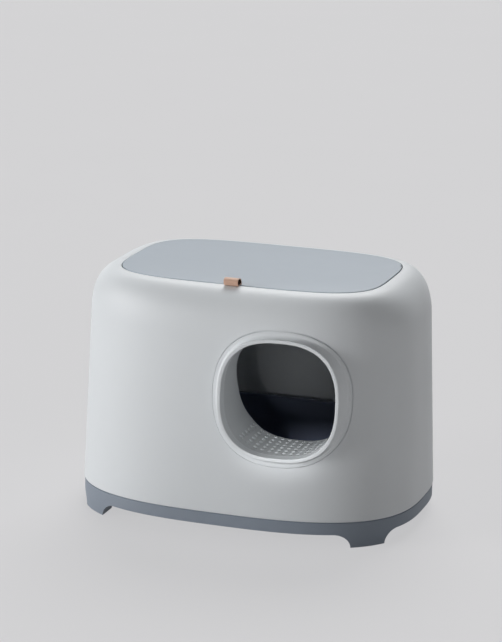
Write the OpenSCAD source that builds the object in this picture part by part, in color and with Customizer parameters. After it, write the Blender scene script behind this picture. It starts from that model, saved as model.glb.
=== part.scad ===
// Litter box with a round front entry, a hinged top lid and a lift-out pan.
// Millimetres, +Z up. The front faces -Y and the box stands on Z = 0, centred on X = Y = 0.

/* [Body] */
// Width of the hood at its lower edge
body_w = 550; // [500:1:620]
// Depth of the hood at its lower edge
body_d = 397; // [370:1:440]
// Squareness of the body's plan outline (2 is an ellipse)
body_square = 2.84; // [2.5:0.01:3.2]
// How much each wall leans inward for each millimetre of height
wall_draft = 0.04; // [0.02:0.005:0.05]
// Wall thickness of the hood
hood_wall = 3; // [2.5:0.1:3.6]
// Height of the lower edge of the hood
seam_z = 42; // [39:0.5:48]
// Height of the hood's straight wall
straight_h = 273.5; // [262:0.5:290]
// Height of the rounded top of the hood
round_h = 73.3; // [66:0.1:80]
// Fullness of the rounded top (2 is an ellipse)
round_full = 2.15; // [2:0.05:2.4]

/* [Base] */
// Step of the base inside the hood's edge
base_step = 1; // [0.5:0.1:2]
// Wall thickness of the base
base_wall = 8; // [6:0.5:10]
// Thickness of the base floor
base_floor_t = 3; // [2.5:0.5:5]
// Height of the rim that locates the hood
locating_h = 8.3; // [5:0.1:12]
// Clearance between the locating rim and the hood
locating_gap = 0.8; // [0.6:0.1:1.4]
// Clear height under the front and rear edges
arch_h = 22; // [18:0.5:24]
// Width of each corner foot at the floor, along the front and rear edges
foot_w = 70; // [64:0.5:84]
// Depth of each corner foot at the floor, along the sides
foot_d = 74.7; // [70:0.1:86]
// Length of each arch's rounded end
arch_end = 24; // [20:1:40]
// Diameter of a rubber foot pad
pad_d = 18; // [12:1:20]
// Thickness of a foot pad
pad_t = 2.5; // [2:0.1:4]
// How far a foot pad stands below the base
pad_proud = 0.6; // [0.4:0.1:1.2]
// Distance of a foot pad's centre from both arches
pad_set = 13; // [11:0.5:14]

/* [Pan] */
// Height of the pan
pan_h = 100.7; // [80:0.1:105]
// Width of the pan over its rim
pan_w = 496; // [470:1:500]
// Depth of the pan over its rim
pan_d = 344; // [320:1:350]
// Wall thickness of the pan
pan_wall = 3; // [2:0.5:4]
// Width of the pan's rolled rim
pan_rim = 8; // [6:0.5:11]
// Height of the rim's turned-down edge
pan_rim_h = 6; // [4:0.5:9]
// How much the pan wall leans inward on each side from rim to floor
pan_lean = 8; // [4:0.5:16]
// Rounding between the pan wall and its floor
pan_round = 8; // [5:0.5:12]

/* [Entry] */
// Place of the entry's centre to the right of the middle
entry_x = 94; // [70:0.5:105]
// Height of the entry's centre
entry_z = 231.1; // [220:0.1:240]
// Clear width of the entry
entry_w = 178; // [160:0.5:184]
// Squareness of the entry (2 is a circle)
entry_square = 2.56; // [2.2:0.01:3]
// Wall thickness of the entry tunnel
tunnel_wall = 2.5; // [2:0.1:3]
// Width of the flat rim of the entry collar
rim_w = 5.4; // [4:0.1:7]
// How far the rim stands out from the hood at the entry's centre
rim_out = 10.5; // [8:0.1:14]
// Turn of the rim plane toward the right, in degrees
rim_yaw = 3.9; // [0:0.1:6]
// Width of the collar's hollow slope
cove_w = 6.4; // [5:0.1:9]
// Width of the collar's thin edge beyond the slope
edge_w = 4.3; // [3:0.1:6]
// Thickness of the collar's thin edge
edge_t = 1.8; // [1.2:0.1:2.5]
// Squareness of the collar's edge
edge_square = 2.34; // [2.2:0.01:2.6]
// Distance from the middle of the box to the tunnel's rear edge
tunnel_rear = 99; // [90:1:110]
// Height of the tunnel's rear corner above which the edge slants forward
slant_z = 168; // [160:1:190]
// Forward slant of the tunnel's rear edge for each millimetre of height
slant = 0.39; // [0.2:0.01:0.4]
// Columns of litter holes in the tunnel floor
hole_columns = 12; // [6:1:12]
// Rows of litter holes in the tunnel floor
hole_rows = 6; // [3:1:6]
// Distance between hole columns
hole_pitch_x = 11.4; // [9:0.1:11.8]
// Distance between hole rows
hole_pitch_y = 12.9; // [9:0.1:13.2]
// Distance of the hole pattern's middle to the left of the entry's centre
hole_off = 2.63; // [1.03:0.2:4.03]
// Diameter of a litter hole
hole_d = 6; // [4:0.5:7]
// Diameter of an entry screw
screw_d = 3; // [2.5:0.1:3.2]
// Diameter of an entry screw's head
screw_head_d = 7; // [6:0.1:7.4]

/* [Lid] */
// Width of the lid
lid_w = 422; // [400:1:430]
// Depth of the lid
lid_d = 273.4; // [262:0.1:280]
// Squareness of the lid's outline
lid_square = 3.92; // [3.4:0.01:4.2]
// Thickness of the lid's plate
lid_t = 3; // [2.5:0.1:4]
// Gap around the lid
lid_gap = 1.2; // [1:0.1:2]
// How far the lid's top stands above the hood's crest
lid_rise = 0.8; // [0.3:0.1:1.5]
// Depth of the stiffening lip under the lid
lip_h = 9.4; // [8.5:0.1:12]
// Thickness of the stiffening lip
lip_t = 2.2; // [1.6:0.1:3]
// Distance of the lip from the lid's edge
lip_set = 8; // [7:0.5:10]
// Width of the seat that carries the lid's lip
ledge_w = 26.2; // [20:0.1:30]
// Thickness of the lid's seat
ledge_t = 2.5; // [2:0.1:3.5]
// Distance of the hinge axis from the rear of the lid's recess
hinge_set = 57.9; // [54:0.1:70]
// Depth of the hinge axis below the lid's top
hinge_drop = 5.4; // [5:0.1:5.8]
// Diameter of a hinge pin
pin_d = 2.6; // [2.2:0.1:3]
// Outer diameter of a hinge boss
boss_d = 6.2; // [5.4:0.1:6.4]
// Length of a hinge boss
boss_l = 22; // [16:0.5:30]
// Opening angle of the lid, in degrees
lid_open = 100; // [92:1:105]

/* [Pull tab] */
// Width of the leather pull tab
tab_w = 23; // [20:0.5:36]
// Thickness of the leather
tab_t = 1.6; // [1.2:0.1:2]
// Distance of the tab's slot from the lid's front edge
tab_set = 2.7; // [2.4:0.1:4]
// Height of the loop above the lid
loop_h = 11.6; // [10:0.1:18]
// Length of the loop forward of its slot
loop_l = 17; // [13:0.1:20]
// Length of the tails under the lid
tail_l = 22; // [18:0.5:28]
// Thickness of the clamp plate
clamp_t = 2; // [1.5:0.1:3]
// Diameter of a clamp screw
clamp_screw_d = 2.5; // [2:0.1:3]

/* [Hidden] */

// Fineness of the outlines and curves
plan_points = 96;
port_points = 64;
round_steps = 8;
cove_steps = 5;
wall_steps = 4;
curve_steps = 6;
bend_steps = 3;
fine = 48;

// Clearances
seat_gap = 0.3;
skin_gap = 0.15;
bore_fit = 0.02;
hinge_fit = 0.06;
screw_fit = 0.3;
ply_gap = 0.15;
cut = 1;

// Heights of the hood
wall_top = seam_z + straight_h;
crest_z = wall_top + round_h;
lid_top = crest_z + lid_rise;
plate_low = lid_top - lid_t;
lip_low = plate_low - lip_h;
ledge_top = lip_low - seat_gap;
ledge_low = ledge_top - ledge_t;
well_low = ledge_low - 0.5;

// Recess that the lid lies in
well_w = lid_w / 2 + lid_gap;
well_d = lid_d / 2 + lid_gap;
crest_edge = 0.8;

// Base
front_arch_l = body_w - 2 * base_step - 2 * foot_w;
side_arch_l = body_d - 2 * base_step - 2 * foot_d;
base_top = seam_z - seat_gap;
base_in = base_step + base_wall;
floor_top = arch_h + base_floor_t;
pad_x = front_arch_l / 2 + pad_set;
pad_y = side_arch_l / 2 + pad_set;

// Pan
pan_low = floor_top + seat_gap;
pan_top = pan_low + pan_h;

// Entry: half widths from the clear passage outward
entry_half = entry_w / 2;
neck_half = entry_half + 2.9;
port_half = neck_half + 0.6;
socket_half = neck_half + 0.7;
rim_half = entry_half + 0.2;
cove_half = rim_half + rim_w;
edge_half = cove_half + cove_w + edge_w;
tube_half = entry_half + tunnel_wall;
flange_half = entry_half + 15;
screw_half = entry_half + 7.3;
screw_turns = [75, 140, 220, 285];
rim_edge = 0.8;

// Depths into the wall, counted from the hood's outer face
neck_in = hood_wall + 1;
joint_in = neck_in + 0.2;
flange_in = hood_wall + seat_gap;
flange_out = flange_in + 2.4;
head_in = flange_out + 0.5;
head_h = 2.2;
screw_reach = 2.2;

// Lid hinge
hinge_y = well_d - hinge_set;
hinge_z = lid_top - hinge_drop;
sweep_gap = 0.35;
relief_x = well_x(hinge_y + hinge_drop + sweep_gap) - sweep_gap;
relief_l = hinge_drop + 1;
boss_x = relief_x - 0.4;
pin_in = boss_x - boss_l + 3;
pin_out = well_x(hinge_y) + hood_wall * 2;

// The opened lid's lip comes to rest against the rear end of its seat
lip_drop = hinge_z - lip_low;
ledge_drop = hinge_z - ledge_low;
stop_run = (ledge_drop - lip_drop * cos(lid_open)) / sin(lid_open);
stop_y = hinge_y + stop_run * cos(lid_open) - lip_drop * sin(lid_open) - sweep_gap;

// Pull tab: both plies of the folded strip turn round the slot's rear edge
inner_bend = tab_t / 2 + 0.4;
outer_bend = inner_bend + tab_t + ply_gap;
slot_w = outer_bend + tab_t / 2 + 0.25;
slot_front = -lid_d / 2 + tab_set;
slot_back = slot_front + slot_w;
clamp_x = tab_w / 2 + 6.5;
clamp_w = 2 * clamp_x + 10;
clamp_d = tail_l - 6;
clamp_y = slot_back + 4.6;
clamp_top = plate_low - outer_bend - tab_t / 2 - 0.05;
clamp_head_d = clamp_screw_d + 3.5;
clamp_head_h = 1.6;

// Power that keeps its sign, for superellipses
function spow(v, e) = sign(v) * pow(abs(v), e);

// Superellipse with half sizes a and b and squareness n
function super_ring(a, b, n, count) =
    [for (i = [0 : count - 1])
        let (t = 360 * i / count)
        [a * spow(cos(t), 2 / n), b * spow(sin(t), 2 / n)]];

// Share of the rounded top's width that is left at a height, 1 on the straight wall
function round_share(z, inset) =
    z <= wall_top ? 1 :
    pow(max(0, 1 - pow((z - wall_top) / (round_h - inset), round_full)), 1 / round_full);

function straight_half(size, z, inset) =
    size / 2 - wall_draft * (min(z, wall_top) - seam_z) - inset;

function skin_half(size, well, z, inset) =
    let (core = well + max(crest_edge, inset), u = round_share(z, inset))
    core + (straight_half(size, z, inset) - core) * u;

function skin_w(z, inset) = skin_half(body_w, well_w, z, inset);
function skin_d(z, inset) = skin_half(body_d, well_d, z, inset);
function skin_n(z, inset) = lid_square + (body_square - lid_square) * round_share(z, inset);

// Front face of the hood at a place, set in by a depth
function wall_y(x, z, inset) =
    let (n = skin_n(z, inset))
    -skin_d(z, inset) * pow(1 - pow(abs(x) / skin_w(z, inset), n), 1 / n);

// Side of the lid's recess at a depth
function well_x(y) = well_w * pow(1 - pow(abs(y) / well_d, lid_square), 1 / lid_square);

// Height of the rounded top for a step of its profile
function round_z(step, inset) =
    wall_top + (round_h - inset) * pow(sin(90 * step / round_steps), 2 / round_full);

// Plane of the collar's rim
rim_lean = atan(wall_draft);
function rim_y(x, z) =
    wall_y(entry_x, entry_z, 0) - rim_out
    + tan(rim_yaw) * (x - entry_x) + tan(rim_lean) / cos(rim_yaw) * (z - entry_z);

// Rear edge of the tunnel, upright below and slanting forward above
function tunnel_y(z) = -tunnel_rear - slant * max(0, z - slant_z);

// Solid through a list of rings, either capped at both ends or joined end to end
module ring_solid(rings, joined) {
    count = len(rings[0]);
    last = len(rings) - 1;
    sides = [for (j = [0 : joined ? last : last - 1], i = [0 : count - 1])
        let (k = (j + 1) % (last + 1), h = (i + 1) % count)
        each [[j * count + i, k * count + h, j * count + h],
              [j * count + i, k * count + i, k * count + h]]];
    caps = joined ? [] :
        [[for (i = [0 : count - 1]) i],
         [for (i = [count - 1 : -1 : 0]) last * count + i]];
    polyhedron([for (ring = rings) each ring], concat(sides, caps));
}

function plan_ring(a, b, n, z) = [for (p = super_ring(a, b, n, plan_points)) [p[0], p[1], z]];

function skin_ring(z, inset) = plan_ring(skin_w(z, inset), skin_d(z, inset), skin_n(z, inset), z);

// Upright prism with a superellipse outline
module plan_block(a, b, n, low, high) {
    translate([0, 0, low])
        linear_extrude(height = high - low)
            polygon(super_ring(a, b, n, plan_points));
}

// Places a child on the hood's front face with its Z axis along the outward normal
module at_wall(x, z) {
    slope = (wall_y(x + 1, z, 0) - wall_y(x - 1, z, 0)) / 2;
    translate([x, wall_y(x, z, 0), z])
        rotate([0, 0, atan(slope)])
            rotate([90 - rim_lean, 0, 0])
                children();
}

// The right-hand screws keep near the middle, where the wall still faces forward
module at_entry_screws() {
    for (t = screw_turns)
        at_wall(entry_x + screw_half * spow(cos(t), 2 / entry_square),
                entry_z + screw_half * spow(sin(t), 2 / entry_square))
            children();
}

module screw_holes(d) {
    at_entry_screws()
        translate([0, 0, -head_in - 2])
            cylinder(h = head_in + 2 + screw_reach + 0.2, d = d, $fn = fine);
}

// Opening under an edge, with rounded ends, running along Y
module arch(length, height) {
    run = length / 2 - arch_end;
    right = [for (i = [0 : 2 * curve_steps])
        let (t = 90 * i / (2 * curve_steps))
        [run + arch_end * cos(t), height * sin(t)]];
    left = [for (i = [len(right) - 1 : -1 : 0]) [-right[i][0], right[i][1]]];
    outline = concat([[length / 2, -cut]], right, left, [[-length / 2, -cut]]);
    rotate([90, 0, 0])
        linear_extrude(height = 2 * body_w, center = true)
            polygon(outline);
}

module base_tray() {
    color([0.45, 0.49, 0.54])
        difference() {
            union() {
                plan_block(body_w / 2 - base_step, body_d / 2 - base_step, body_square,
                    pad_proud, base_top);
                plan_block(body_w / 2 - hood_wall - locating_gap,
                    body_d / 2 - hood_wall - locating_gap, body_square,
                    base_top - cut, base_top + locating_h);
            }
            plan_block(body_w / 2 - base_in, body_d / 2 - base_in, body_square,
                floor_top, base_top + locating_h + cut);
            arch(front_arch_l, arch_h);
            rotate([0, 0, 90])
                arch(side_arch_l, arch_h - 1);
            for (sx = [-1, 1], sy = [-1, 1])
                translate([sx * pad_x, sy * pad_y, -cut])
                    cylinder(h = cut + pad_t + bore_fit, d = pad_d + 2 * skin_gap, $fn = fine);
        }
}

module foot_pad(sx, sy) {
    color([0.13, 0.13, 0.14])
        translate([sx * pad_x, sy * pad_y, 0])
            cylinder(h = pad_t, d = pad_d, $fn = fine);
}

module litter_pan() {
    lean = pan_lean / (pan_h - pan_rim_h);
    wall_w = pan_w / 2 - pan_rim;
    wall_d = pan_d / 2 - pan_rim;
    rim_turn = pan_rim - pan_wall;
    edge_r = 1.5;
    // Each row is the inset from the outer wall at the rim, and the height
    rows = concat(
        [for (i = [0 : 3])
            let (t = 90 * i / 3)
            [pan_lean + pan_round * (1 - sin(t)), pan_low + pan_round * (1 - cos(t))]],
        [[0, pan_top - pan_wall],
         [-rim_turn, pan_top - pan_wall],
         [-rim_turn, pan_top - pan_rim_h],
         [-pan_rim, pan_top - pan_rim_h],
         [-pan_rim, pan_top - edge_r],
         [-pan_rim + edge_r, pan_top],
         [pan_wall - edge_r, pan_top],
         [pan_wall, pan_top - edge_r]],
        [for (i = [3 : -1 : 0])
            let (t = 90 * i / 3)
            [pan_lean + pan_wall + (pan_round - pan_wall / 2) * (1 - sin(t)),
             pan_low + pan_wall + (pan_round - pan_wall / 2) * (1 - cos(t))]]);
    color([0.10, 0.13, 0.18])
        ring_solid([for (r = rows) plan_ring(wall_w - r[0], wall_d - r[0], body_square, r[1])],
            false);
}

module hood_skin() {
    outer_wall = [for (i = [0 : wall_steps])
        skin_ring(seam_z + straight_h * i / wall_steps, 0)];
    outer_round = [for (i = [1 : round_steps]) skin_ring(round_z(i, 0), 0)];
    well = [plan_ring(well_w, well_d, lid_square, crest_z - crest_edge),
            plan_ring(well_w, well_d, lid_square, well_low),
            plan_ring(well_w + hood_wall, well_d + hood_wall, lid_square, well_low)];
    inner_round = [for (i = [round_steps : -1 : 1]) skin_ring(round_z(i, hood_wall), hood_wall)];
    inner_wall = [for (i = [wall_steps : -1 : 0])
        skin_ring(seam_z + straight_h * i / wall_steps, hood_wall)];
    ring_solid(concat(outer_wall, outer_round, well, inner_round, inner_wall), true);
}

// Seat that carries the lid's lip, open behind the point where the opened lid stops
module lid_seat() {
    intersection() {
        difference() {
            plan_block(well_w + 1, well_d + 1, lid_square, ledge_low, ledge_top);
            plan_block(well_w - ledge_w, well_d - ledge_w, lid_square,
                ledge_low - cut, ledge_top + cut);
        }
        translate([-body_w / 2, -body_d, ledge_low - cut])
            cube([body_w, body_d + stop_y, ledge_t + 2 * cut]);
    }
}

module hood_shell() {
    color([0.78, 0.79, 0.79])
        difference() {
            union() {
                hood_skin();
                lid_seat();
            }
            translate([entry_x, -body_d / 4, entry_z])
                rotate([90, 0, 0])
                    linear_extrude(height = body_d / 2)
                        polygon(super_ring(port_half, port_half, entry_square, port_points));
            screw_holes(screw_d + 2 * screw_fit);
            for (side = [-1, 1])
                hinge_bore(side, pin_d + 2 * bore_fit, boss_x, pin_out + 2);
        }
}

module hinge_bore(side, d, from, to) {
    translate([side * from, hinge_y, hinge_z])
        rotate([0, side * 90, 0])
            cylinder(h = to - from, d = d, $fn = fine);
}

// Ring round the entry; its depth is worked out from the place of each point
function port_ring(half, n) =
    [for (p = super_ring(half, half, n, port_points)) [entry_x + p[0], entry_z + p[1]]];

// share 0 lies on the rim plane and share 1 on the hood's face
function collar_ring(half, n, share, back, inset) =
    [for (p = port_ring(half, n))
        [p[0],
         (1 - share) * (rim_y(p[0], p[1]) + back) + share * wall_y(p[0], p[1], inset),
         p[1]]];

module entry_collar() {
    sq = entry_square;
    cove = [for (i = [cove_steps : -1 : 0])
        let (t = 90 * i / cove_steps)
        collar_ring(cove_half + cove_w * (1 - cos(t)),
            sq + (edge_square - sq) * (1 - cos(t)), sin(t), rim_edge, -edge_t)];
    color([0.76, 0.77, 0.77])
        difference() {
            ring_solid(concat(
                [collar_ring(neck_half, sq, 1, 0, neck_in),
                 collar_ring(neck_half, sq, 1, 0, -skin_gap),
                 collar_ring(edge_half, edge_square, 1, 0, -skin_gap),
                 collar_ring(edge_half, edge_square, 1, 0, -edge_t + 0.6),
                 collar_ring(edge_half - 0.6, edge_square, 1, 0, -edge_t)],
                cove,
                [collar_ring(cove_half - rim_edge, sq, 0, 0, 0),
                 collar_ring(rim_half + rim_edge, sq, 0, 0, 0),
                 collar_ring(rim_half, sq, 0, rim_edge, 0),
                 collar_ring(rim_half, sq, 1, 0, neck_in)]), true);
            screw_holes(screw_d + 2 * bore_fit);
        }
}

function tunnel_ring(half, inset) = collar_ring(half, entry_square, 1, 0, inset);

function tunnel_end(half, back) =
    [for (p = port_ring(half, entry_square)) [p[0], tunnel_y(p[1]) - back, p[1]]];

module entry_tunnel() {
    hole_x0 = entry_x - hole_off - hole_pitch_x * (hole_columns - 1) / 2;
    hole_y0 = -tunnel_rear - 9;
    hole_top = entry_z - entry_half * 0.55;
    color([0.68, 0.70, 0.71])
        difference() {
            ring_solid([
                tunnel_end(entry_half + 0.6, 0),
                tunnel_end(tube_half - 0.6, 0),
                tunnel_end(tube_half, 0.6),
                tunnel_ring(tube_half, flange_out),
                tunnel_ring(flange_half, flange_out),
                tunnel_ring(flange_half, flange_in),
                tunnel_ring(socket_half, flange_in),
                tunnel_ring(socket_half, joint_in),
                tunnel_ring(entry_half, joint_in),
                tunnel_end(entry_half, 0.6)], true);
            for (i = [0 : hole_columns - 1], j = [0 : hole_rows - 1])
                translate([hole_x0 + hole_pitch_x * i, hole_y0 - hole_pitch_y * j,
                        entry_z - flange_half])
                    cylinder(h = hole_top - entry_z + flange_half, d = hole_d, $fn = fine);
            screw_holes(screw_d + 2 * screw_fit);
        }
}

module entry_screws() {
    color([0.60, 0.61, 0.62])
        at_entry_screws() {
            translate([0, 0, -head_in])
                cylinder(h = head_in + screw_reach, d = screw_d, $fn = fine);
            translate([0, 0, -head_in - head_h])
                cylinder(h = head_h, d = screw_head_d, $fn = fine);
        }
}

module lid_plan(inset, low, high) {
    plan_block(lid_w / 2 - inset, lid_d / 2 - inset, lid_square, low, high);
}

module top_lid() {
    color([0.67, 0.71, 0.74])
        difference() {
            union() {
                lid_plan(0, plate_low, lid_top);
                difference() {
                    lid_plan(lip_set, lip_low, plate_low + lid_t / 2);
                    lid_plan(lip_set + lip_t, lip_low - cut, plate_low);
                }
                for (side = [-1, 1])
                    hinge_bore(side, boss_d, boss_x - boss_l, boss_x);
                for (side = [-1, 1])
                    translate([side * clamp_x, clamp_y + clamp_d / 2, clamp_top])
                        cylinder(h = plate_low + lid_t / 2 - clamp_top,
                            d = clamp_screw_d + 5, $fn = fine);
            }
            for (side = [-1, 1]) {
                hinge_bore(side, pin_d + 2 * hinge_fit, boss_x - boss_l + 2, boss_x + cut);
                translate([side > 0 ? relief_x : -relief_x - 10, hinge_y - relief_l,
                        lip_low - cut])
                    cube([10, relief_l + hinge_set, lid_top - lip_low + 2 * cut]);
                translate([side * clamp_x, clamp_y + clamp_d / 2, clamp_top - cut])
                    cylinder(h = cut + lid_top - clamp_top - 1.2,
                        d = clamp_screw_d + 2 * bore_fit, $fn = fine);
            }
            // Slot for the strip, and the gap in the lip that its tails pass through
            translate([-tab_w / 2 - seat_gap, slot_front, plate_low - cut])
                cube([tab_w + 2 * seat_gap, slot_w, lid_t + 2 * cut]);
            translate([-tab_w / 2 - seat_gap, slot_front, lip_low - cut])
                cube([tab_w + 2 * seat_gap, lip_set + lip_t, lip_h + cut]);
        }
}

module hinge_pin(side) {
    color([0.70, 0.71, 0.72])
        hinge_bore(side, pin_d, pin_in, pin_out);
}

// Point on a smooth curve through a list of points, at a share of one span
function smooth_at(points, k, s) =
    let (last = len(points) - 1,
         a = points[max(k - 1, 0)], b = points[k],
         c = points[k + 1], d = points[min(k + 2, last)])
    0.5 * (2 * b + (c - a) * s + (2 * a - 5 * b + 4 * c - d) * pow(s, 2)
        + (3 * b - a - 3 * c + d) * pow(s, 3));

function smooth(points) =
    [for (k = [0 : len(points) - 2], i = [0 : curve_steps - 1])
        smooth_at(points, k, i / curve_steps)];

function bend(radius, from, to) =
    [for (i = [0 : bend_steps])
        let (t = from + (to - from) * i / bend_steps)
        [slot_back + radius * cos(t), plate_low + radius * sin(t)]];

// Both sides of a strip of even thickness that follows a line
function strip(line, t) =
    let (last = len(line) - 1,
         side = [for (i = [0 : last])
            let (d = line[min(i + 1, last)] - line[max(i - 1, 0)])
            [-d[1], d[0]] / norm(d) * t / 2])
    concat([for (i = [0 : last]) line[i] + side[i]],
        [for (i = [last : -1 : 0]) line[i] - side[i]]);

module pull_tab() {
    back = slot_back - inner_bend;
    front = slot_back - outer_bend;
    tail = slot_back + tail_l;
    // The loop rises out of the slot, leans forward over the hood's crest and comes back
    loop = smooth([
        [back, lid_top - 1],
        [back - 0.3, lid_top + 0.35 * loop_h],
        [back - 0.22 * loop_l, lid_top + 0.75 * loop_h],
        [back - 0.58 * loop_l, lid_top + loop_h - tab_t / 2],
        [back - 0.93 * loop_l, lid_top + 0.84 * loop_h],
        [back - 1.04 * loop_l, lid_top + 0.55 * loop_h],
        [back - 0.84 * loop_l, crest_z + seat_gap + 0.5 + tab_t / 2],
        [back - 0.45 * loop_l, lid_top + seat_gap + 0.3 + tab_t / 2],
        [front - 0.5, lid_top + 0.13 * loop_h],
        [front, lid_top - 1]]);
    line = concat([[tail, plate_low - inner_bend]], bend(inner_bend, 270, 180), loop,
        bend(outer_bend, 180, 270), [[tail, plate_low - outer_bend]]);
    color([0.76, 0.53, 0.42])
        translate([-tab_w / 2, 0, 0])
            rotate([90, 0, 90])
                linear_extrude(height = tab_w)
                    polygon(strip(line, tab_t));
}

module tab_clamp() {
    color([0.60, 0.63, 0.66])
        difference() {
            translate([-clamp_w / 2, clamp_y, clamp_top - clamp_t])
                cube([clamp_w, clamp_d, clamp_t]);
            for (side = [-1, 1])
                translate([side * clamp_x, clamp_y + clamp_d / 2, clamp_top - clamp_t - cut])
                    cylinder(h = clamp_t + 2 * cut, d = clamp_screw_d + screw_fit, $fn = fine);
        }
}

module tab_screws() {
    color([0.60, 0.61, 0.62])
        for (side = [-1, 1])
            translate([side * clamp_x, clamp_y + clamp_d / 2, clamp_top - clamp_t - 0.1]) {
                cylinder(h = clamp_t + lid_top - clamp_top - 1.4, d = clamp_screw_d, $fn = fine);
                translate([0, 0, -clamp_head_h])
                    cylinder(h = clamp_head_h, d = clamp_head_d, $fn = fine);
            }
}

base_tray();
foot_pad(-1, -1);  // foot_pad_front_left
foot_pad(1, -1);  // foot_pad_front_right
foot_pad(-1, 1);  // foot_pad_rear_left
foot_pad(1, 1);  // foot_pad_rear_right
litter_pan();
hood_shell();
entry_collar();
entry_tunnel();
entry_screws();
top_lid();
hinge_pin(-1);  // hinge_pin_left
hinge_pin(1);  // hinge_pin_right
pull_tab();
tab_clamp();
tab_screws();
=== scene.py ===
"""Looks of a litter box with a round front entry, a hinged top lid and a lift-out pan.

Metres, +Z up, the front faces -Y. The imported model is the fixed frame: every surface here is
worked out from its boxes and from the sizes below, and rides on the body that carries it.
"""

import bmesh
import bpy
import numpy as np
from bpy.props import FloatProperty, FloatVectorProperty, IntProperty, PointerProperty
from mathutils import Matrix, Vector


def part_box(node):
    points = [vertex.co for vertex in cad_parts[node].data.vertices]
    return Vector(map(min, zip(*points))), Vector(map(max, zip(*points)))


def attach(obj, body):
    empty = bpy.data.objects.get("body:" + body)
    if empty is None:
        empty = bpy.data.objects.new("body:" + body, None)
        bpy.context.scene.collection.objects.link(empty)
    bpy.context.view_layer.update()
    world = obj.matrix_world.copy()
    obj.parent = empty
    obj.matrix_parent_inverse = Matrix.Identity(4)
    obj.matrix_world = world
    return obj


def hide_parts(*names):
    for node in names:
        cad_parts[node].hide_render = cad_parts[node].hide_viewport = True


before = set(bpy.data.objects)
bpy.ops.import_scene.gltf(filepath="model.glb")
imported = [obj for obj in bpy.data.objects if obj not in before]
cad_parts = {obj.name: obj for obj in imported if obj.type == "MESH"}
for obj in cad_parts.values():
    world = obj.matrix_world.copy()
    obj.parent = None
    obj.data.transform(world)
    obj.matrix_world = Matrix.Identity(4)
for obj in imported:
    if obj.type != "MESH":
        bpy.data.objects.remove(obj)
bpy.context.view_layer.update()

bl_info = {
    "name": "Litter box",
    "version": (1, 0, 0),
    "blender": (4, 5, 0),
    "location": "3D View > Sidebar > Litter box",
    "description": "Builds the finished surfaces of a litter box around its packed model",
    "category": "Add Mesh",
}

MM = 0.001
SEAT_GAP = 0.3 * MM
FAR = 0.4
PADS = ("foot_pad_front_left", "foot_pad_front_right", "foot_pad_rear_left",
        "foot_pad_rear_right")


def low(node):
    """Lowest corner of a node, in metres."""
    return np.array(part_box(node)[0])


def high(node):
    """Highest corner of a node, in metres."""
    return np.array(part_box(node)[1])


def srgb(r, g, b):
    """Linear colour with full alpha from display values of 0 to 255."""
    c = np.array([r, g, b]) / 255.0
    lin = np.where(c <= 0.04045, c / 12.92, ((c + 0.055) / 1.055) ** 2.4)
    return (*[float(v) for v in lin], 1.0)


class BodySizes(bpy.types.PropertyGroup):
    """Sizes of the hood, the base and the pan."""

    square: FloatProperty(
        name="Squareness", default=2.84, min=2.0, max=5.0,
        description="Squareness of the body's plan outline, where 2 is an ellipse")
    draft: FloatProperty(
        name="Draft", default=0.04,
        description="How far a wall leans inward for each metre of height")
    hood_wall: FloatProperty(
        name="Hood wall", default=3 * MM, unit="LENGTH", description="Thickness of the hood")
    round_height: FloatProperty(
        name="Round height", default=73.3 * MM, unit="LENGTH",
        description="Height of the hood's rounded top")
    round_full: FloatProperty(
        name="Round fullness", default=2.15,
        description="Fullness of the rounded top, where 2 is an ellipse")
    base_wall: FloatProperty(
        name="Base wall", default=8 * MM, unit="LENGTH", description="Thickness of the base wall")
    arch_height: FloatProperty(
        name="Arch height", default=22 * MM, unit="LENGTH",
        description="Clear height under the front and rear edges")
    front_arch: FloatProperty(
        name="Front arch", default=408 * MM, unit="LENGTH",
        description="Length of the arch under the front edge, at the floor")
    side_arch: FloatProperty(
        name="Side arch", default=245.6 * MM, unit="LENGTH",
        description="Length of the arch under a side, at the floor")
    arch_end: FloatProperty(
        name="Arch end", default=24 * MM, unit="LENGTH",
        description="Length of an arch's rounded end")
    around: IntProperty(
        name="Points around", default=384, min=32, description="Points round each outline")
    seat_rim: FloatProperty(
        name="Locating rim", default=2.8 * MM, unit="LENGTH",
        description="Set-back of the locating rim from the base's side")
    reveal: FloatProperty(
        name="Reveal", default=1.4 * MM, unit="LENGTH",
        description="Height and depth of the shadow line under the hood")
    pan_rim: FloatProperty(
        name="Pan rim", default=8 * MM, unit="LENGTH",
        description="Width of the pan's rolled rim")
    pan_wall: FloatProperty(
        name="Pan wall", default=3 * MM, unit="LENGTH",
        description="Thickness of the pan's wall")
    pan_lean: FloatProperty(
        name="Pan lean", default=8 * MM, unit="LENGTH",
        description="How far the pan's wall leans in toward its floor")


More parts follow.
